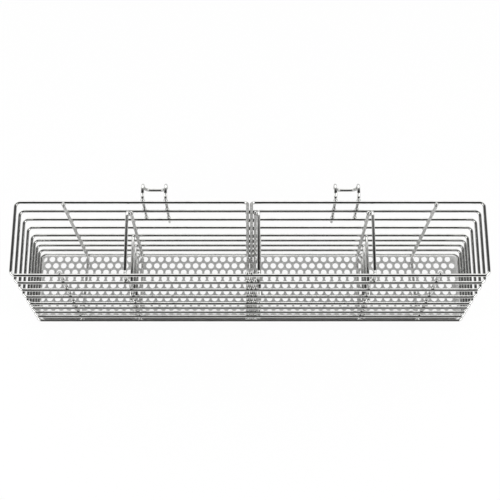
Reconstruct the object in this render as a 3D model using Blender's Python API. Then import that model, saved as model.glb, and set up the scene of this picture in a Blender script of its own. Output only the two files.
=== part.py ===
# Cutlery drying rack: a slim basket of round wire with a punched floor, three dividers and two hooks.
# Metres, +Z up. The front faces -Y and the length runs along X.
# The origin lies on the surface that the basket stands on, at the middle of its footprint with the hooks.

import math

import bmesh
import bpy
from mathutils import Quaternion, Vector

# Wire. All wires have one diameter, and welded wires keep a small gap between them.
wire_diameter = 0.0024
weld_gap = 0.0003
side_count = 8                 # flat sides round a wire
corner_step_count = 3          # steps in a quarter turn of a bend

# Hoops
basket_length = 0.400          # outside, along X
basket_depth = 0.0675          # outside, along Y
hoop_corner_radius = 0.0040    # at the middle of the wire
upper_gap_count = 4            # wide gaps between hoops, from the rim down
upper_hoop_pitch = 0.0199
lower_gap_count = 4            # narrow gaps below them
lower_hoop_pitch = 0.0133
bottom_hoop_lap = 0.0010       # how far the lowest hoop sits below the end of the ribs' bends

# Ribs: U-shaped wires inside the hoops
rib_bend_radius = 0.0030
end_rib_inset = 0.0417         # from each end of the basket to its end rib
rib_end_rise = 0.0004          # how far a rib's end stands above the middle of its top hoop
end_rib_back_lean = 0.0038     # an end rib's back leg, from its end down to its foot, towards the middle
end_rib_front_lean = 0.0010    # the same at the front

# Centre ribs: the two ends of the rim wire, and beside them the centre divider's rib
centre_rib_start = -0.0020     # place of the left one along X
centre_rib_pitch = 0.0034
rim_tail_radius = 0.0042       # bend from the rim down into a centre rib
tail_jog_top = 0.0056          # below the rim, where a tail starts to lean inwards
tail_jog_height = 0.0090       # height of that lean
tail_jog_radius = 0.0080

# Dividers
divider_offset = 0.1025        # from the middle of the basket to the left and right divider's rib
top_bar_rise = 0.0090          # above the second hoop
top_bar_radius = 0.0060        # bend at each end of a top bar
top_bar_leg_drop = 0.0020      # how far its ends reach below the middle of the second hoop
low_bar_shift = 0.0013         # the lower bars stand this much further from the rib
bar_end_gap = 0.0003           # between a lower bar's end and the hoop that it meets

# Floor sheet
sheet_thickness = 0.0008
sheet_flange_height = 0.0050   # outside height of the turned-down edge, sheet included
sheet_edge_gap = 0.0003        # between the flange and the hoops
sheet_corner_radius = 0.0050
hole_diameter = 0.0054
hole_pitch = 0.00737
hole_row_pitch = 0.0068
hole_side_count = 4            # sides of a hole's outline
notch_clearance = 0.0006       # at each side of a rib where it passes through the sheet's edge
notch_end_gap = 0.0014         # between a rib and the inner end of its notch

# Hooks
left_hook_offset = 0.0814      # from the middle of the basket to the middle of the hook
right_hook_offset = 0.0826
hook_width = 0.0196            # between the middles of its two legs
hook_rise = 0.0035             # top run, above the middle of the rim
hook_reach = 0.0135            # from the legs back to the turned-down end
hook_drop = 0.0155             # from the top run down to the cross run
hook_top_radius = 0.0055
hook_end_radius = 0.0060       # corners beside the cross run
hook_outer_leg = 0.0460        # from the middle of the rim down to the end of the outer leg
hook_inner_leg = 0.0530

cut_overrun = 0.0020           # how far a cutter passes its cut

# Colours and finishes
bright_steel = (0.62, 0.62, 0.63, 1.0)
satin_steel = (0.50, 0.50, 0.51, 1.0)
bright_roughness = 0.14
satin_roughness = 0.34

# Places worked out from the sizes above. Heights start at the surface, depths at the basket's middle.
wire_radius = wire_diameter / 2
facet_turn = math.pi / side_count
flat_radius = wire_radius * math.cos(facet_turn)       # from a wire's middle to its flat sides
weld_pitch = wire_diameter + weld_gap                  # between the middles of two welded wires
rib_run_height = flat_radius
bottom_hoop_height = rib_run_height + rib_bend_radius - bottom_hoop_lap
hoop_half_length = basket_length / 2 - flat_radius
hoop_half_depth = basket_depth / 2 - flat_radius
rib_half_depth = hoop_half_depth - weld_pitch
hook_leg_depth = hoop_half_depth + weld_pitch
hook_back_depth = hook_leg_depth + hook_reach
basket_shift = (hoop_half_depth - hook_back_depth) / 2
sheet_low = rib_run_height + wire_radius + weld_gap
sheet_top = sheet_low + sheet_flange_height
sheet_half_length = hoop_half_length - wire_radius - sheet_edge_gap
sheet_half_depth = hoop_half_depth - wire_radius - sheet_edge_gap
end_rib_offset = basket_length / 2 - end_rib_inset

# As many holes as the sheet takes. The second row has one more than the first, half a pitch aside.
hole_count = int((2 * sheet_half_length - hole_diameter) / hole_pitch)
hole_row_count = int((2 * sheet_half_depth - hole_diameter) / hole_row_pitch) + 1


def hoop_height(number):
    """Height of the middle of a hoop's wire; the rim is number 1 and the lowest hoop is the last."""
    last = upper_gap_count + lower_gap_count + 1
    lower = min(last - number, lower_gap_count)
    upper = last - number - lower
    return bottom_hoop_height + lower * lower_hoop_pitch + upper * upper_hoop_pitch


def clear_scene():
    for thing in list(bpy.data.objects):
        bpy.data.objects.remove(thing, do_unlink=True)


def steel(name, colour, roughness):
    material = bpy.data.materials.new(name + "_steel")
    material.use_nodes = True
    shader = material.node_tree.nodes["Principled BSDF"]
    shader.inputs["Base Color"].default_value = colour
    shader.inputs["Metallic"].default_value = 1.0
    shader.inputs["Roughness"].default_value = roughness
    return material


def add_object(name, data, parent, location=(0, 0, 0)):
    thing = bpy.data.objects.new(name, data)
    bpy.context.scene.collection.objects.link(thing)
    thing.parent = parent
    thing.location = location
    return thing


def bend(before, corner, after, radius):
    """Points of the arc that rounds one corner of a path."""
    back = (before - corner).normalized()
    ahead = (after - corner).normalized()
    turn = math.pi - back.angle(ahead)
    reach = radius * math.tan(turn / 2)
    centre = corner + (back + ahead).normalized() * radius / math.cos(turn / 2)
    start = corner + back * reach - centre
    axis = ahead.cross(back)
    steps = max(1, round(corner_step_count * turn / (math.pi / 2)))
    return [centre + Quaternion(axis, turn * step / steps) @ start for step in range(steps + 1)]


def rounded_path(corners, radii, closed=False):
    """Points of a path through the corners, with each corner bent to its own radius."""
    spots = [Vector(corner) for corner in corners]
    count = len(spots)
    points = []
    for index, spot in enumerate(spots):
        if not closed and index in (0, count - 1):
            points.append(spot)
            continue
        before = spots[index - 1]
        after = spots[(index + 1) % count]
        points += bend(before, spot, after, radii[index])
    return points


def wire(name, parent, points, closed=False, location=(0, 0, 0)):
    """A round wire along the points, turned so that it has flat sides along X, Y and Z."""
    curve = bpy.data.curves.new(name, "CURVE")
    curve.dimensions = "3D"
    curve.twist_mode = "MINIMUM"
    curve.bevel_depth = wire_radius
    curve.bevel_resolution = side_count // 2 - 2
    curve.use_fill_caps = True
    spline = curve.splines.new("POLY")
    spline.points.add(len(points) - 1)
    for place, point in zip(spline.points, points):
        place.co = (*point, 1)
        place.tilt = facet_turn
    spline.use_cyclic_u = closed
    spline.use_smooth = True
    curve.materials.append(steel(name, bright_steel, bright_roughness))
    return add_object(name, curve, parent, location)


def rectangle(half_length, half_depth, height=0.0):
    """Corners of a level rectangle round the middle of the basket."""
    return [
        (-half_length, -half_depth, height),
        (half_length, -half_depth, height),
        (half_length, half_depth, height),
        (-half_length, half_depth, height),
    ]


def build_hoop(basket, number):
    corners = rectangle(hoop_half_length, hoop_half_depth)
    points = rounded_path(corners, [hoop_corner_radius] * len(corners), closed=True)
    wire("hoop_%d" % number, basket, points, True, (0, 0, hoop_height(number)))


def build_rim(basket):
    """The rim with its two ends: each turns down at the back and goes on as a centre rib."""
    rim = hoop_height(1)
    left = centre_rib_start
    right = centre_rib_start + centre_rib_pitch
    jog_top = rim - tail_jog_top
    jog_low = jog_top - tail_jog_height
    end_height = rim + rib_end_rise
    lean_radii = [rib_bend_radius, rib_bend_radius, tail_jog_radius, tail_jog_radius, rim_tail_radius]

    def tail(place):
        return [
            (place, -rib_half_depth, end_height),
            (place, -rib_half_depth, rib_run_height),
            (place, rib_half_depth, rib_run_height),
            (place, rib_half_depth, jog_low),
            (place, hoop_half_depth, jog_top),
            (place, hoop_half_depth, rim),
        ]

    around = rectangle(hoop_half_length, hoop_half_depth, rim)
    rim_corners = [around[2], around[1], around[0], around[3]]
    corners = tail(right) + rim_corners + tail(left)[::-1]
    radii = [0.0] + lean_radii + [hoop_corner_radius] * len(rim_corners) + lean_radii[::-1] + [0.0]
    wire("rim_wire", basket, rounded_path(corners, radii))


def build_rib(basket, name, place, top_hoop, back_lean=0.0, front_lean=0.0):
    """A rib; its legs may lean along X, so that their feet stand aside of their ends."""
    end_height = hoop_height(top_hoop) + rib_end_rise
    corners = [
        (0, rib_half_depth, end_height),
        (back_lean, rib_half_depth, rib_run_height),
        (front_lean, -rib_half_depth, rib_run_height),
        (0, -rib_half_depth, end_height),
    ]
    points = rounded_path(corners, [rib_bend_radius] * len(corners))
    wire(name, basket, points, location=(place, 0, 0))


def build_divider(basket, name, rib_place, side):
    """A rib, a top bar beside it and three lower bars; side is the way from the rib to the bars."""
    build_rib(basket, name + "_rib", rib_place, 2)
    bar_place = rib_place + side * weld_pitch
    top = hoop_height(2) + top_bar_rise
    leg_end = hoop_height(2) - top_bar_leg_drop
    corners = [
        (0, rib_half_depth, leg_end),
        (0, rib_half_depth, top),
        (0, -rib_half_depth, top),
        (0, -rib_half_depth, leg_end),
    ]
    points = rounded_path(corners, [top_bar_radius] * len(corners))
    wire(name + "_top_bar", basket, points, location=(bar_place, 0, 0))
    low_place = bar_place + side * low_bar_shift
    half_bar = hoop_half_depth - wire_radius - bar_end_gap
    floor_bar_height = sheet_top + weld_gap + wire_radius
    heights = {"_upper_bar": hoop_height(5), "_middle_bar": hoop_height(7), "_floor_bar": floor_bar_height}
    for suffix, height in heights.items():
        ends = [Vector((0, half_bar, 0)), Vector((0, -half_bar, 0))]
        wire(name + suffix, basket, ends, location=(low_place, 0, height))


def build_hook(basket, name, place, outward):
    """One bent wire: up a leg, back, down, across, and the same way back to the other leg."""
    rim = hoop_height(1)
    top = rim + hook_rise
    cross = top - hook_drop
    outer = outward * hook_width / 2
    inner = -outer
    corners = [
        (outer, hook_leg_depth, rim - hook_outer_leg),
        (outer, hook_leg_depth, top),
        (outer, hook_back_depth, top),
        (outer, hook_back_depth, cross),
        (inner, hook_back_depth, cross),
        (inner, hook_back_depth, top),
        (inner, hook_leg_depth, top),
        (inner, hook_leg_depth, rim - hook_inner_leg),
    ]
    top_bends = [hook_top_radius] * 2
    radii = [0.0] + top_bends + [hook_end_radius] * 2 + top_bends + [0.0]
    wire(name, basket, rounded_path(corners, radii), location=(place, 0, 0))


def prism_mesh(name, outlines, low, high):
    """Upright solids on flat outlines, in one mesh."""
    shape = bmesh.new()
    for outline in outlines:
        face = shape.faces.new([shape.verts.new((x, y, low)) for x, y in outline])
        grown = bmesh.ops.extrude_face_region(shape, geom=[face])
        tops = [item for item in grown["geom"] if isinstance(item, bmesh.types.BMVert)]
        bmesh.ops.translate(shape, verts=tops, vec=(0, 0, high - low))
    bmesh.ops.recalc_face_normals(shape, faces=shape.faces)
    mesh = bpy.data.meshes.new(name)
    shape.to_mesh(mesh)
    shape.free()
    return mesh


def cut(thing, name, parent, outlines, low, high):
    """Cuts upright solids out of a thing with a hidden cutter."""
    cutter = add_object(name, prism_mesh(name, outlines, low, high), parent)
    cutter.hide_render = True
    cutter.display_type = "WIRE"
    modifier = thing.modifiers.new(name, "BOOLEAN")
    modifier.operation = "DIFFERENCE"
    modifier.solver = "EXACT"
    modifier.object = cutter


def sheet_outline(inset):
    corners = rectangle(sheet_half_length - inset, sheet_half_depth - inset)
    radii = [sheet_corner_radius - inset] * len(corners)
    return [point.xy for point in rounded_path(corners, radii, closed=True)]


def hole_outlines():
    """Regular outlines of the holes, as large in area as round ones."""
    turn = 2 * math.pi / hole_side_count
    reach = hole_diameter / 2 * math.sqrt(turn / math.sin(turn))
    outlines = []
    for row in range(hole_row_count):
        count = hole_count + row % 2
        y = hole_row_pitch * ((hole_row_count - 1) / 2 - row)
        for index in range(count):
            x = hole_pitch * (index - (count - 1) / 2)
            angles = [turn * (side + 0.5) for side in range(hole_side_count)]
            outlines.append([(x + reach * math.cos(a), y + reach * math.sin(a)) for a in angles])
    return outlines


def notch_outlines():
    """Slots in the sheet's front and back edges, where the ribs pass."""
    half = wire_radius + notch_clearance
    centre_last = centre_rib_start + 2 * centre_rib_pitch
    inner = rib_half_depth - wire_radius - notch_end_gap
    outer = sheet_half_depth + cut_overrun
    outlines = []
    for end_lean, near, far in ((end_rib_back_lean, inner, outer), (end_rib_front_lean, -outer, -inner)):
        spans = [(centre_rib_start - half, centre_last + half)]
        for offset in (end_rib_offset - end_lean, divider_offset):
            spans += [(side * offset - half, side * offset + half) for side in (-1, 1)]
        outlines += [[(low, near), (high, near), (high, far), (low, far)] for low, high in spans]
    return outlines


def build_floor(basket):
    """The punched sheet: a flat plate with its edge turned down all round, and slots for the ribs."""
    mesh = prism_mesh("floor_sheet", [sheet_outline(0.0)], sheet_low, sheet_top)
    mesh.materials.append(steel("floor_sheet", satin_steel, satin_roughness))
    sheet = add_object("floor_sheet", mesh, basket)
    under = sheet_top - sheet_thickness
    cut(sheet, "cut_underside", basket, [sheet_outline(sheet_thickness)], sheet_low - cut_overrun, under)
    cut(sheet, "cut_notches", basket, notch_outlines(), sheet_low - cut_overrun, sheet_top + cut_overrun)
    cut(sheet, "cut_holes", basket, hole_outlines(), under - cut_overrun, sheet_top + cut_overrun)


def main():
    clear_scene()
    basket = add_object("basket", None, None, (0, basket_shift, 0))
    build_rim(basket)
    for number in range(2, upper_gap_count + lower_gap_count + 2):
        build_hoop(basket, number)
    for name, side in (("left_end_rib", -1), ("right_end_rib", 1)):
        leans = (-side * end_rib_back_lean, -side * end_rib_front_lean)
        build_rib(basket, name, side * end_rib_offset, 1, *leans)
    build_divider(basket, "left_divider", -divider_offset, -1)
    build_divider(basket, "centre_divider", centre_rib_start + 2 * centre_rib_pitch, 1)
    build_divider(basket, "right_divider", divider_offset, 1)
    build_floor(basket)
    build_hook(basket, "left_hook", -left_hook_offset, -1)
    build_hook(basket, "right_hook", right_hook_offset, 1)


main()
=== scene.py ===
import math

import bmesh
import bpy
from mathutils import Matrix, Vector


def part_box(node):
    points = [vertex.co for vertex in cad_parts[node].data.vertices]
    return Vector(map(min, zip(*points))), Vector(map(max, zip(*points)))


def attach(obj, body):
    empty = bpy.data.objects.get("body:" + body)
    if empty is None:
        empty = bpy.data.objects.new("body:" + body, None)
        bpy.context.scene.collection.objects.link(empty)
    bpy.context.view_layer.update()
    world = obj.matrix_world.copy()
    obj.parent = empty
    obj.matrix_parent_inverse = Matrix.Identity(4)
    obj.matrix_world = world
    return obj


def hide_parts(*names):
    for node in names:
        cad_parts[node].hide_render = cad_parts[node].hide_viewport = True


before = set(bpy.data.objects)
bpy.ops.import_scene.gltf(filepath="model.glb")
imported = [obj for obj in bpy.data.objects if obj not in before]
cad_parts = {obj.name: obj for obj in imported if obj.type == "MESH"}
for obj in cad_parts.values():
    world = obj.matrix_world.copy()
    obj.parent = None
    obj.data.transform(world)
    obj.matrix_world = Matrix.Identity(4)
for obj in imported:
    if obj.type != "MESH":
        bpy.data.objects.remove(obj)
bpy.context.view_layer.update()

# Cutlery drying rack: polished wire, a punched sheet for a floor, and the beads where wires are welded.
# Metres throughout. Places come from the boxes of the frame's own nodes.

print("frame loaded:", len(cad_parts), "nodes")


def linearColour(hexText):
    # the standard curve from a picture's colours to linear light
    channels = [int(hexText[start:start + 2], 16) / 255 for start in (1, 3, 5)]
    linear = [c / 12.92 if c <= 0.04045 else ((c + 0.055) / 1.055) ** 2.4 for c in channels]
    return (*linear, 1.0)


def addNode(tree, kind, settings=None, links=None):
    # settings go to the node's own fields or, by socket name or number, to its inputs
    node = tree.nodes.new(kind)
    for key, value in (settings or {}).items():
        if isinstance(key, str) and hasattr(node, key):
            setattr(node, key, value)
        else:
            node.inputs[key].default_value = value
    for key, source in (links or {}).items():
        tree.links.new(source, node.inputs[key])
    return node


# the mix node's socket numbers when it mixes colours
colourMix = dict(factor=0, first=6, second=7, result=2)


def mixColours(tree, first, second, factor):
    mix = addNode(
        tree, "ShaderNodeMix",
        {"data_type": "RGBA", colourMix["first"]: linearColour(first),
         colourMix["second"]: linearColour(second)},
        {colourMix["factor"]: factor},
    )
    return mix.outputs[colourMix["result"]]


def newMaterial(name):
    material = bpy.data.materials.new(name)
    material.use_nodes = True
    shader = material.node_tree.nodes["Principled BSDF"]
    return material, material.node_tree, shader


# Electropolished stainless steel wire: drawn, then polished in a bath. The eye sees a near mirror
# with a faint long ripple, and slightly duller patches where the bath worked less.
polishedWire = dict(
    colour="#c6c6c4", dullColour="#b6b6b5", roughness=0.05, dullRoughness=0.12,
    patchScale=160, patchDetail=3.0, patchRoughness=0.55, patchStart=0.35, patchEnd=0.72,
    rippleScale=420, rippleDetail=2.0, rippleStrength=0.10, rippleHeight=0.00006,
)


def makeWireMaterial():
    material, tree, shader = newMaterial("electropolishedStainlessWire")
    coords = addNode(tree, "ShaderNodeTexCoord")
    patches = addNode(
        tree, "ShaderNodeTexNoise",
        {"Scale": polishedWire["patchScale"], "Detail": polishedWire["patchDetail"],
         "Roughness": polishedWire["patchRoughness"]},
        {"Vector": coords.outputs["Object"]},
    )
    spread = addNode(
        tree, "ShaderNodeMapRange",
        {"From Min": polishedWire["patchStart"], "From Max": polishedWire["patchEnd"]},
        {"Value": patches.outputs["Fac"]},
    )
    tone = mixColours(tree, polishedWire["colour"], polishedWire["dullColour"], spread.outputs["Result"])
    polish = addNode(
        tree, "ShaderNodeMapRange",
        {"To Min": polishedWire["roughness"], "To Max": polishedWire["dullRoughness"]},
        {"Value": spread.outputs["Result"]},
    )
    ripple = addNode(
        tree, "ShaderNodeTexNoise",
        {"Scale": polishedWire["rippleScale"], "Detail": polishedWire["rippleDetail"]},
        {"Vector": coords.outputs["Object"]},
    )
    bump = addNode(
        tree, "ShaderNodeBump",
        {"Strength": polishedWire["rippleStrength"], "Distance": polishedWire["rippleHeight"]},
        {"Height": ripple.outputs["Fac"]},
    )
    shader.inputs["Metallic"].default_value = 1.0
    tree.links.new(tone, shader.inputs["Base Color"])
    tree.links.new(polish.outputs["Result"], shader.inputs["Roughness"])
    tree.links.new(bump.outputs["Normal"], shader.inputs["Normal"])
    return material


# Rolled stainless sheet, punched: a soft satin from the mill's rolls, with faint grain along the length.
# Real grain is about 0.05 mm wide; it is drawn at 0.4 mm so that it shows.
rolledSheet = dict(
    colour="#d6d6d5", darkColour="#bebebd", roughness=0.42, roughnessSpread=0.12,
    grainWidth=0.0004, grainLength=0.030, grainDetail=2.0, grainRoughness=0.6,
    grainStrength=0.25, grainHeight=0.00002, cloudScale=35, cloudDetail=3.0,
    spreadStart=0.12, spreadEnd=0.42,
)


def makeSheetMaterial():
    material, tree, shader = newMaterial("rolledStainlessSheet")
    coords = addNode(tree, "ShaderNodeTexCoord")
    grainScale = 1 / rolledSheet["grainWidth"]
    grainMap = addNode(
        tree, "ShaderNodeMapping",
        {"Scale": (1 / rolledSheet["grainLength"], grainScale, grainScale)},
        {"Vector": coords.outputs["Object"]},
    )
    grain = addNode(
        tree, "ShaderNodeTexNoise",
        {"Scale": 1.0, "Detail": rolledSheet["grainDetail"], "Roughness": rolledSheet["grainRoughness"]},
        {"Vector": grainMap.outputs["Vector"]},
    )
    clouds = addNode(
        tree, "ShaderNodeTexNoise",
        {"Scale": rolledSheet["cloudScale"], "Detail": rolledSheet["cloudDetail"]},
        {"Vector": coords.outputs["Object"]},
    )
    both = addNode(
        tree, "ShaderNodeMath", {"operation": "MULTIPLY"},
        {0: grain.outputs["Fac"], 1: clouds.outputs["Fac"]},
    )
    spread = addNode(
        tree, "ShaderNodeMapRange",
        {"From Min": rolledSheet["spreadStart"], "From Max": rolledSheet["spreadEnd"]},
        {"Value": both.outputs["Value"]},
    )
    tone = mixColours(tree, rolledSheet["darkColour"], rolledSheet["colour"], spread.outputs["Result"])
    satin = addNode(
        tree, "ShaderNodeMapRange",
        {"To Min": rolledSheet["roughness"] + rolledSheet["roughnessSpread"],
         "To Max": rolledSheet["roughness"]},
        {"Value": spread.outputs["Result"]},
    )
    bump = addNode(
        tree, "ShaderNodeBump",
        {"Strength": rolledSheet["grainStrength"], "Distance": rolledSheet["grainHeight"]},
        {"Height": grain.outputs["Fac"]},
    )
    shader.inputs["Metallic"].default_value = 1.0
    tree.links.new(tone, shader.inputs["Base Color"])
    tree.links.new(satin.outputs["Result"], shader.inputs["Roughness"])
    tree.links.new(bump.outputs["Normal"], shader.inputs["Normal"])
    return material


wireMaterial = makeWireMaterial()
sheetMaterial = makeSheetMaterial()
print("materials made")


def keepPiece(name, shape, material, nodes=()):
    # turns a finished bmesh into a piece of the basket that stands for the given nodes
    mesh = bpy.data.meshes.new(name)
    shape.to_mesh(mesh)
    shape.free()
    mesh.materials.append(material)
    piece = bpy.data.objects.new(name, mesh)
    bpy.context.scene.collection.objects.link(piece)
    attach(piece, "root")
    if nodes:
        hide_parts(*nodes)
    return piece


# Round wire
# the frame's wires have eight flat sides and stand 0.3 mm apart; these are round and just touch
wire = dict(
    radius=0.00135, sides=24, bendSteps=8, leastBendSteps=3, endChamfer=0.00025, chamferSteps=2,
    mergeGap=0.00001, frameRadius=0.0012, frameSides=8,
)
flatRadius = wire["frameRadius"] * math.cos(math.pi / wire["frameSides"])


def ringEdges(geometry):
    return [item for item in geometry if isinstance(item, bmesh.types.BMEdge)]


def ringVerts(geometry):
    return [item for item in geometry if isinstance(item, bmesh.types.BMVert)]


def smoothFaces(shape):
    for face in shape.faces:
        face.smooth = True


def runTo(shape, ring, offset):
    grown = bmesh.ops.extrude_edge_only(shape, edges=ring)["geom"]
    bmesh.ops.translate(shape, verts=ringVerts(grown), vec=offset)
    return ringEdges(grown)


def sweepWire(shape, corners, radii, closed=False):
    # a round section carried along the corners, straight by extrusion and round each bend by a spin
    spots = [Vector(corner) for corner in corners]
    if closed:
        start = (spots[-1] + spots[0]) / 2
        spots = [start] + spots + [start]
        radii = [0.0] + list(radii) + [0.0]
    place = spots[0]
    heading = (spots[1] - spots[0]).normalized()
    turned = heading.to_track_quat("Z", "Y").to_matrix().to_4x4()
    first = bmesh.ops.create_circle(
        shape, cap_ends=False, segments=wire["sides"], radius=wire["radius"],
        matrix=Matrix.Translation(place) @ turned,
    )["verts"]
    ring = list({edge for vert in first for edge in vert.link_edges})
    firstRing = list(ring)
    for index in range(1, len(spots) - 1):
        corner = spots[index]
        ahead = (spots[index + 1] - corner).normalized()
        turn = heading.angle(ahead)
        reach = radii[index] * math.tan(turn / 2)
        bendStart = corner - heading * reach
        centre = corner + (ahead - heading).normalized() * radii[index] / math.cos(turn / 2)
        ring = runTo(shape, ring, bendStart - place)
        steps = max(wire["leastBendSteps"], round(wire["bendSteps"] * turn / (math.pi / 2)))
        spun = bmesh.ops.spin(
            shape, geom=ring, cent=centre, axis=heading.cross(ahead).normalized(), dvec=(0, 0, 0),
            angle=turn, steps=steps, use_merge=False, use_duplicate=False,
        )["geom_last"]
        ring = ringEdges(spun)
        place = corner + ahead * reach
        heading = ahead
    ring = runTo(shape, ring, spots[-1] - place)
    smoothFaces(shape)
    if closed:
        bmesh.ops.remove_doubles(shape, verts=shape.verts, dist=wire["mergeGap"])
    else:
        for rim in (firstRing, ring):
            bmesh.ops.edgeloop_fill(shape, edges=rim)
        bmesh.ops.bevel(
            shape, geom=firstRing + ring, offset=wire["endChamfer"], offset_type="OFFSET",
            segments=wire["chamferSteps"], profile=0.5, affect="EDGES", material=-1,
        )
    bmesh.ops.recalc_face_normals(shape, faces=shape.faces)


def makeWire(name, corners, radii, closed=False):
    shape = bmesh.new()
    sweepWire(shape, corners, radii, closed)
    return keepPiece(name + "_round", shape, wireMaterial, [name])


def middleOf(node):
    low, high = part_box(node)
    return (low + high) / 2


def rectangleRound(centre, halfLength, halfDepth):
    return [
        centre + Vector((x * halfLength, y * halfDepth, 0))
        for x, y in ((-1, -1), (1, -1), (1, 1), (-1, 1))
    ]


# Hoops
hoops = dict(cornerRadius=0.0040)
hoopNumbers = range(2, 10)   # from the top; the rim is number 1
hoopLow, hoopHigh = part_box("hoop_2")
hoopHalfLength = (hoopHigh.x - hoopLow.x) / 2 - flatRadius
hoopHalfDepth = (hoopHigh.y - hoopLow.y) / 2 - flatRadius
basketMiddle = middleOf("hoop_2")
for number in hoopNumbers:
    node = "hoop_%d" % number
    makeWire(
        node, rectangleRound(middleOf(node), hoopHalfLength, hoopHalfDepth),
        [hoops["cornerRadius"]] * 4, closed=True,
    )

# Ribs: U-shaped wires inside the hoops; the two end ribs' legs lean, so that their feet stand further in
ribs = dict(bendRadius=0.0030, endRise=0.0004, endFrontLean=0.0010)
ribLow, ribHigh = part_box("left_end_rib")
ribHalfDepth = (ribHigh.y - ribLow.y) / 2 - flatRadius
runHeight = ribLow.z + flatRadius


def hoopHeight(number):
    if number == 1:
        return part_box("left_end_rib")[1].z - ribs["endRise"]
    return middleOf("hoop_%d" % number).z


def ribPlaces(node):
    # places along X of a rib's ends, its back foot and its front foot
    low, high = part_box(node)
    if "end" not in node:
        return [middleOf(node).x] * 3
    outer, inner, inward = low.x + flatRadius, high.x - flatRadius, 1
    if node.startswith("right"):
        outer, inner, inward = inner, outer, -1
    return [outer, inner, outer + inward * ribs["endFrontLean"]]


def ribPlaceAt(node, side, height):
    # place along X of a rib's back (1) or front (-1) leg at a height
    ends, backFoot, frontFoot = ribPlaces(node)
    foot = backFoot if side > 0 else frontFoot
    return foot + (ends - foot) * (height - runHeight) / (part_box(node)[1].z - runHeight)


def makeRib(node):
    ends, backFoot, frontFoot = ribPlaces(node)
    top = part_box(node)[1].z
    back = middleOf(node).y + ribHalfDepth
    front = middleOf(node).y - ribHalfDepth
    makeWire(
        node,
        [(ends, back, top), (backFoot, back, runHeight), (frontFoot, front, runHeight), (ends, front, top)],
        [ribs["bendRadius"]] * 4,
    )


ribNodes = ["left_end_rib", "left_divider_rib", "centre_divider_rib", "right_divider_rib", "right_end_rib"]
for node in ribNodes:
    makeRib(node)

# Rim: its two ends turn down at the back and go on as two centre ribs
rim = dict(
    tailPlaces=(-0.0020, 0.0014), tailRadius=0.0042, jogTop=0.0056, jogHeight=0.0090, jogRadius=0.0080,
)


def makeRim():
    height = hoopHeight(1)
    middle = basketMiddle.y
    back = middle + ribHalfDepth
    front = middle - ribHalfDepth
    rimBack = middle + hoopHalfDepth
    left, right = rim["tailPlaces"]

    def tail(x):
        return [
            (x, front, height + ribs["endRise"]),
            (x, front, runHeight),
            (x, back, runHeight),
            (x, back, height - rim["jogTop"] - rim["jogHeight"]),
            (x, rimBack, height - rim["jogTop"]),
            (x, rimBack, height),
        ]

    around = rectangleRound(Vector((0, middle, height)), hoopHalfLength, hoopHalfDepth)
    loop = [around[2], around[1], around[0], around[3]]
    tailRadii = [
        0.0, ribs["bendRadius"], ribs["bendRadius"], rim["jogRadius"], rim["jogRadius"], rim["tailRadius"],
    ]
    makeWire(
        "rim_wire", tail(right) + loop + tail(left)[::-1],
        tailRadii + [hoops["cornerRadius"]] * 4 + tailRadii[::-1],
    )


makeRim()

# Dividers: a top bar bent down at both ends, and three straight bars from hoop to hoop
dividers = dict(topRadius=0.0060)
for side in ("left", "centre", "right"):
    node = side + "_divider_top_bar"
    low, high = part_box(node)
    place = middleOf(node)
    back = high.y - flatRadius
    front = low.y + flatRadius
    top = high.z - flatRadius
    makeWire(
        node, [(place.x, back, low.z), (place.x, back, top), (place.x, front, top), (place.x, front, low.z)],
        [dividers["topRadius"]] * 4,
    )
    for level in ("upper", "middle", "floor"):
        node = "%s_divider_%s_bar" % (side, level)
        low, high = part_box(node)
        place = middleOf(node)
        makeWire(node, [(place.x, high.y, place.z), (place.x, low.y, place.z)], [0.0, 0.0])

# Hooks: one bent wire each, up a leg, back, down, across, and the same way back
hooks = dict(topRadius=0.0055, endRadius=0.0060, drop=0.0155, legStep=0.0070)
for node, outward in (("left_hook", -1), ("right_hook", 1)):
    low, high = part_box(node)
    outer = (low.x if outward < 0 else high.x) - outward * flatRadius
    inner = (high.x if outward < 0 else low.x) + outward * flatRadius
    legs = low.y + flatRadius
    back = high.y - flatRadius
    top = high.z - flatRadius
    cross = top - hooks["drop"]
    outerEnd = low.z + hooks["legStep"]
    corners = [
        (outer, legs, outerEnd), (outer, legs, top), (outer, back, top), (outer, back, cross),
        (inner, back, cross), (inner, back, top), (inner, legs, top), (inner, legs, low.z),
    ]
    topBends = [hooks["topRadius"]] * 2
    makeWire(node, corners, [0.0] + topBends + [hooks["endRadius"]] * 2 + topBends + [0.0])
print("wires made")

# Floor sheet: punched, with its edge rolled over and turned down, and slots where the ribs pass
sheet = dict(
    thickness=0.0008, cornerRadius=0.0050, cornerSteps=8, foldRadius=0.0009, foldSteps=5,
    holeRadius=0.0027, holeSides=20, flare=0.00012, cutDepth=0.0020,
    holePitch=0.00737, holes=52, rowPitch=0.0065, rows=9, rowsBack=0.0004,
    slotClearance=0.0006, slotEndGap=0.0014, slotOverrun=0.0020, slotHeight=0.0200,
    sharpAngle=25,
)


def cutWith(piece, cutterShape, name):
    mesh = bpy.data.meshes.new(name)
    bmesh.ops.recalc_face_normals(cutterShape, faces=cutterShape.faces)
    cutterShape.to_mesh(mesh)
    cutterShape.free()
    cutter = bpy.data.objects.new(name, mesh)
    bpy.context.scene.collection.objects.link(cutter)
    modifier = piece.modifiers.new(name, "BOOLEAN")
    modifier.operation = "DIFFERENCE"
    modifier.solver = "EXACT"
    modifier.object = cutter
    bpy.context.view_layer.update()
    evaluated = piece.evaluated_get(bpy.context.evaluated_depsgraph_get())
    result = bpy.data.meshes.new_from_object(evaluated)
    piece.modifiers.clear()
    piece.data = result
    bpy.data.objects.remove(cutter)


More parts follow.
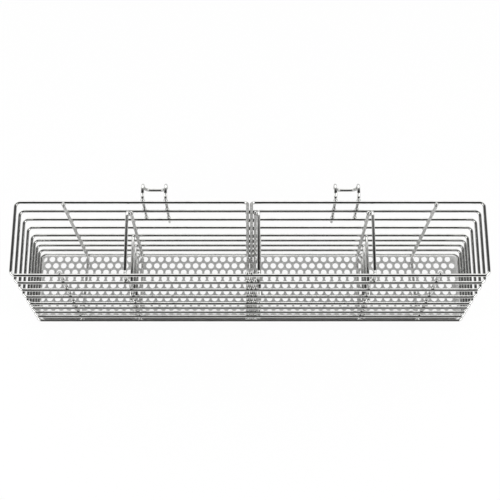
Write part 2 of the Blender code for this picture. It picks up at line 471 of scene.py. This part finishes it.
def makeSheet():
    low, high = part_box("floor_sheet")
    middle = middleOf("floor_sheet")
    shape = bmesh.new()
    bmesh.ops.create_grid(shape, x_segments=1, y_segments=1, size=1.0)
    bmesh.ops.scale(shape, vec=((high.x - low.x) / 2, (high.y - low.y) / 2, 1), verts=shape.verts)
    bmesh.ops.translate(shape, vec=(middle.x, middle.y, high.z), verts=shape.verts)
    bmesh.ops.bevel(
        shape, geom=shape.verts[:], offset=sheet["cornerRadius"], offset_type="OFFSET",
        segments=sheet["cornerSteps"], profile=0.5, affect="VERTICES", material=-1,
    )
    outline = shape.edges[:]
    grown = bmesh.ops.extrude_edge_only(shape, edges=outline)["geom"]
    bmesh.ops.translate(shape, vec=(0, 0, low.z - high.z), verts=ringVerts(grown))
    bmesh.ops.bevel(
        shape, geom=outline, offset=sheet["foldRadius"], offset_type="OFFSET",
        segments=sheet["foldSteps"], profile=0.5, affect="EDGES", material=-1,
    )
    bmesh.ops.recalc_face_normals(shape, faces=shape.faces)
    if max(shape.faces, key=lambda face: face.calc_area()).normal.z < 0:
        bmesh.ops.reverse_faces(shape, faces=shape.faces)
    bmesh.ops.solidify(shape, geom=shape.faces[:], thickness=sheet["thickness"])
    piece = keepPiece("floor_sheet_punched", shape, sheetMaterial, ["floor_sheet"])

    # slots for the ribs, wide enough for the three centre wires in the middle
    slots = bmesh.new()
    half = wire["radius"] + sheet["slotClearance"]
    inner = ribHalfDepth - wire["radius"] - sheet["slotEndGap"]
    outer = (high.y - low.y) / 2 + sheet["slotOverrun"]
    for side in (-1, 1):
        feet = [ribPlaceAt(node, side, runHeight) for node in ribNodes if "centre" not in node]
        spans = [(foot - half, foot + half) for foot in feet]
        spans.append((rim["tailPlaces"][0] - half, middleOf("centre_divider_rib").x + half))
        for start, end in spans:
            bmesh.ops.create_cube(slots, size=1.0, matrix=Matrix.LocRotScale(
                Vector(((start + end) / 2, middle.y + side * (inner + outer) / 2, middle.z)), None,
                Vector((end - start, outer - inner, sheet["slotHeight"])),
            ))
    cutWith(piece, slots, "slots")

    # round holes in staggered rows, each with the small roll-over that a punch leaves on the upper side;
    # the rows run on to the left as in punched stock, so the edge cuts through their last holes
    holes = bmesh.new()
    below = high.z - sheet["cutDepth"]
    steps = ((sheet["cutDepth"] - sheet["flare"], 0.0), (sheet["flare"] * 2, sheet["flare"] * 2))
    for row in range(sheet["rows"]):
        count = sheet["holes"] + row % 2
        extra = (row + 1) % 2
        x = middle.x - sheet["holePitch"] * ((count - 1) / 2 + extra)
        y = middle.y + sheet["rowsBack"] + sheet["rowPitch"] * ((sheet["rows"] - 1) / 2 - row)
        punch = bmesh.ops.create_circle(
            holes, cap_ends=True, segments=sheet["holeSides"], radius=sheet["holeRadius"],
            matrix=Matrix.Translation((x, y, below)),
        )["verts"]
        loop = list(punch[0].link_faces[0].edges)
        for lift, widen in steps:
            tops = ringVerts(bmesh.ops.extrude_edge_only(holes, edges=loop)["geom"])
            bmesh.ops.translate(holes, verts=tops, vec=(0, 0, lift))
            ratio = 1 + widen / sheet["holeRadius"]
            bmesh.ops.scale(
                holes, verts=tops, vec=(ratio, ratio, 1), space=Matrix.Translation((-x, -y, 0)),
            )
            loop = list({
                edge for vert in tops for edge in vert.link_edges if edge.other_vert(vert) in tops
            })
            punch = punch + tops
        bmesh.ops.edgeloop_fill(holes, edges=loop)
        bmesh.ops.spin(
            holes, geom=list({face for vert in punch for face in vert.link_faces}), cent=(0, 0, 0),
            axis=(0, 0, 1), dvec=(sheet["holePitch"], 0, 0), angle=0, steps=count - 1 + extra,
            use_duplicate=True, use_merge=False,
        )
    cutWith(piece, holes, "holes")
    piece.data.shade_smooth()
    piece.data.set_sharp_from_angle(angle=math.radians(sheet["sharpAngle"]))


makeSheet()
print("floor sheet made")

# Weld beads: small pillows of melted steel between crossing wires
beads = dict(
    across=0.0019, along=0.0022, thick=0.0017, inset=0.0004, collar=0.0017, collarInset=0.0002,
    segments=10, rings=6, hookHoops=(1, 2, 3),
)


def addBead(shape, centre, size):
    bmesh.ops.create_uvsphere(
        shape, u_segments=beads["segments"], v_segments=beads["rings"], radius=1.0,
        matrix=Matrix.LocRotScale(Vector(centre), None, Vector(size)),
    )


def makeBeads():
    shape = bmesh.new()
    middle = basketMiddle.y
    innerJoint = (ribHalfDepth + hoopHalfDepth) / 2 - beads["inset"]
    crossing = (beads["across"], beads["thick"], beads["along"])
    for node in ribNodes:
        numbers = [1, *hoopNumbers] if "end" in node else hoopNumbers
        for number in numbers:
            for side in (-1, 1):
                height = hoopHeight(number)
                place = (ribPlaceAt(node, side, height), middle + side * innerJoint, height)
                addBead(shape, place, crossing)
    for x in rim["tailPlaces"]:
        for number in hoopNumbers:
            for side in (-1, 1):
                addBead(shape, (x, middle + side * innerJoint, hoopHeight(number)), crossing)
        addBead(shape, (x, middle - innerJoint, hoopHeight(1)), crossing)
    outerJoint = middle + 2 * hoopHalfDepth - innerJoint   # the hooks' legs stand outside the hoops
    for node in ("left_hook", "right_hook"):
        low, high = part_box(node)
        for x in (low.x + flatRadius, high.x - flatRadius):
            for number in beads["hookHoops"]:
                addBead(shape, (x, outerJoint, hoopHeight(number)), crossing)
    for side in ("left", "centre", "right"):
        bar = middleOf(side + "_divider_top_bar")
        rib = middleOf(side + "_divider_rib")
        for way in (-1, 1):
            addBead(
                shape, ((bar.x + rib.x) / 2, middle + way * ribHalfDepth, hoopHeight(2)),
                (beads["thick"], beads["across"], beads["along"]),
            )
        for level in ("upper", "middle", "floor"):
            place = middleOf("%s_divider_%s_bar" % (side, level))
            for way in (-1, 1):
                end = middle + way * (hoopHalfDepth - wire["radius"] - beads["collarInset"])
                addBead(shape, (place.x, end, place.z), (beads["collar"], beads["thick"], beads["collar"]))
    smoothFaces(shape)
    keepPiece("weld_beads", shape, wireMaterial)


makeBeads()
print("welds made")

# Stage: a pale floor in a room that is bright behind and along the horizon and dim in front and above,
# and a soft lamp at each side
stage = dict(
    floorSize=6.0, floorCells=8, floorColour="#fafafa", floorRoughness=0.9, floorShare=0.93,
    floorGlow=1.0, skyColour="#ffffff",
    dimLight=0.03, backLight=2.4, dimEnd=0.10, brightStart=0.68, brightening=4.0,
    horizonLight=1.0, hazeTop=0.08,
    lampHeight=1.1, lampReach=1.35, lampPlace=-0.7, lampWidth=0.9, lampDepth=1.6, lampPower=22,
)


def viewFlag(tree):
    # 1 for what the camera sees, directly, mirrored or through glass; 0 for the light on the object
    path = addNode(tree, "ShaderNodeLightPath")
    mirrored = addNode(
        tree, "ShaderNodeMath", {"operation": "MAXIMUM"},
        {0: path.outputs["Is Glossy Ray"], 1: path.outputs["Is Transmission Ray"]},
    )
    return addNode(
        tree, "ShaderNodeMath", {"operation": "MAXIMUM"},
        {0: path.outputs["Is Camera Ray"], 1: mirrored.outputs["Value"]},
    )


def makeFloor():
    shape = bmesh.new()
    cells = stage["floorCells"]
    bmesh.ops.create_grid(shape, x_segments=cells, y_segments=cells, size=stage["floorSize"] / 2)
    mesh = bpy.data.meshes.new("floor")
    shape.to_mesh(mesh)
    shape.free()
    floor = bpy.data.objects.new("floor", mesh)
    bpy.context.scene.collection.objects.link(floor)
    material, tree, shader = newMaterial("matteWhiteTable")
    shader.inputs["Base Color"].default_value = linearColour(stage["floorColour"])
    shader.inputs["Roughness"].default_value = stage["floorRoughness"]
    glow = addNode(tree, "ShaderNodeEmission", {"Strength": stage["floorGlow"]})
    share = addNode(
        tree, "ShaderNodeMath", {"operation": "MULTIPLY", 1: stage["floorShare"]},
        {0: viewFlag(tree).outputs["Value"]},
    )
    both = addNode(
        tree, "ShaderNodeMixShader", {},
        {0: share.outputs["Value"], 1: shader.outputs["BSDF"], 2: glow.outputs["Emission"]},
    )
    tree.links.new(both.outputs["Shader"], tree.nodes["Material Output"].inputs["Surface"])
    mesh.materials.append(material)


def makeSky():
    world = bpy.data.worlds.new("studio")
    bpy.context.scene.world = world
    world.use_nodes = True
    tree = world.node_tree
    sky = tree.nodes["Background"]
    sky.inputs["Color"].default_value = linearColour(stage["skyColour"])
    coords = addNode(tree, "ShaderNodeTexCoord")
    parts = addNode(tree, "ShaderNodeSeparateXYZ", {}, {"Vector": coords.outputs["Generated"]})
    backwards = addNode(
        tree, "ShaderNodeMapRange", {"From Min": stage["dimEnd"], "From Max": stage["brightStart"]},
        {"Value": parts.outputs["Y"]},
    )
    curve = addNode(
        tree, "ShaderNodeMath", {"operation": "POWER", 1: stage["brightening"]},
        {0: backwards.outputs["Result"]},
    )
    level = addNode(
        tree, "ShaderNodeMapRange", {"To Min": stage["dimLight"], "To Max": stage["backLight"]},
        {"Value": curve.outputs["Value"]},
    )
    horizon = addNode(
        tree, "ShaderNodeMapRange",
        {"interpolation_type": "SMOOTHSTEP", "From Max": stage["hazeTop"],
         "To Min": stage["horizonLight"], "To Max": 0.0},
        {"Value": parts.outputs["Z"]},
    )
    brighter = addNode(
        tree, "ShaderNodeMath", {"operation": "MAXIMUM"},
        {0: level.outputs["Result"], 1: horizon.outputs["Result"]},
    )
    tree.links.new(brighter.outputs["Value"], sky.inputs["Strength"])


def makeLamp(name, side):
    lamp = bpy.data.lights.new(name, "AREA")
    lamp.shape = "RECTANGLE"
    lamp.size = stage["lampWidth"]
    lamp.size_y = stage["lampDepth"]
    lamp.energy = stage["lampPower"]
    thing = bpy.data.objects.new(name, lamp)
    bpy.context.scene.collection.objects.link(thing)
    thing.location = (side * stage["lampReach"], stage["lampPlace"], stage["lampHeight"])
    thing.rotation_euler = (0, math.atan2(thing.location.x, thing.location.z), 0)


makeFloor()
makeSky()
makeLamp("softLampLeft", -1)
makeLamp("softLampRight", 1)

# Camera, at the photograph's angle: high in front, looking down past the rim
view = dict(
    lens=83.556, sensor=36, nearest=0.01, elevation=70.25, distance=0.9711,
    target=(0.0001, -0.01843, 0.13591),
)


def makeCamera():
    camera = bpy.data.cameras.new("camera")
    camera.lens = view["lens"]
    camera.sensor_width = view["sensor"]
    camera.clip_start = view["nearest"]
    thing = bpy.data.objects.new("camera", camera)
    bpy.context.scene.collection.objects.link(thing)
    tilt = Matrix.Rotation(math.radians(90 - view["elevation"]), 4, "X")
    away = Matrix.Translation((0, 0, view["distance"]))
    thing.matrix_world = Matrix.Translation(view["target"]) @ tilt @ away
    bpy.context.scene.camera = thing


makeCamera()
bpy.context.scene.view_settings.view_transform = "Standard"
print("stage, lamps and camera made")
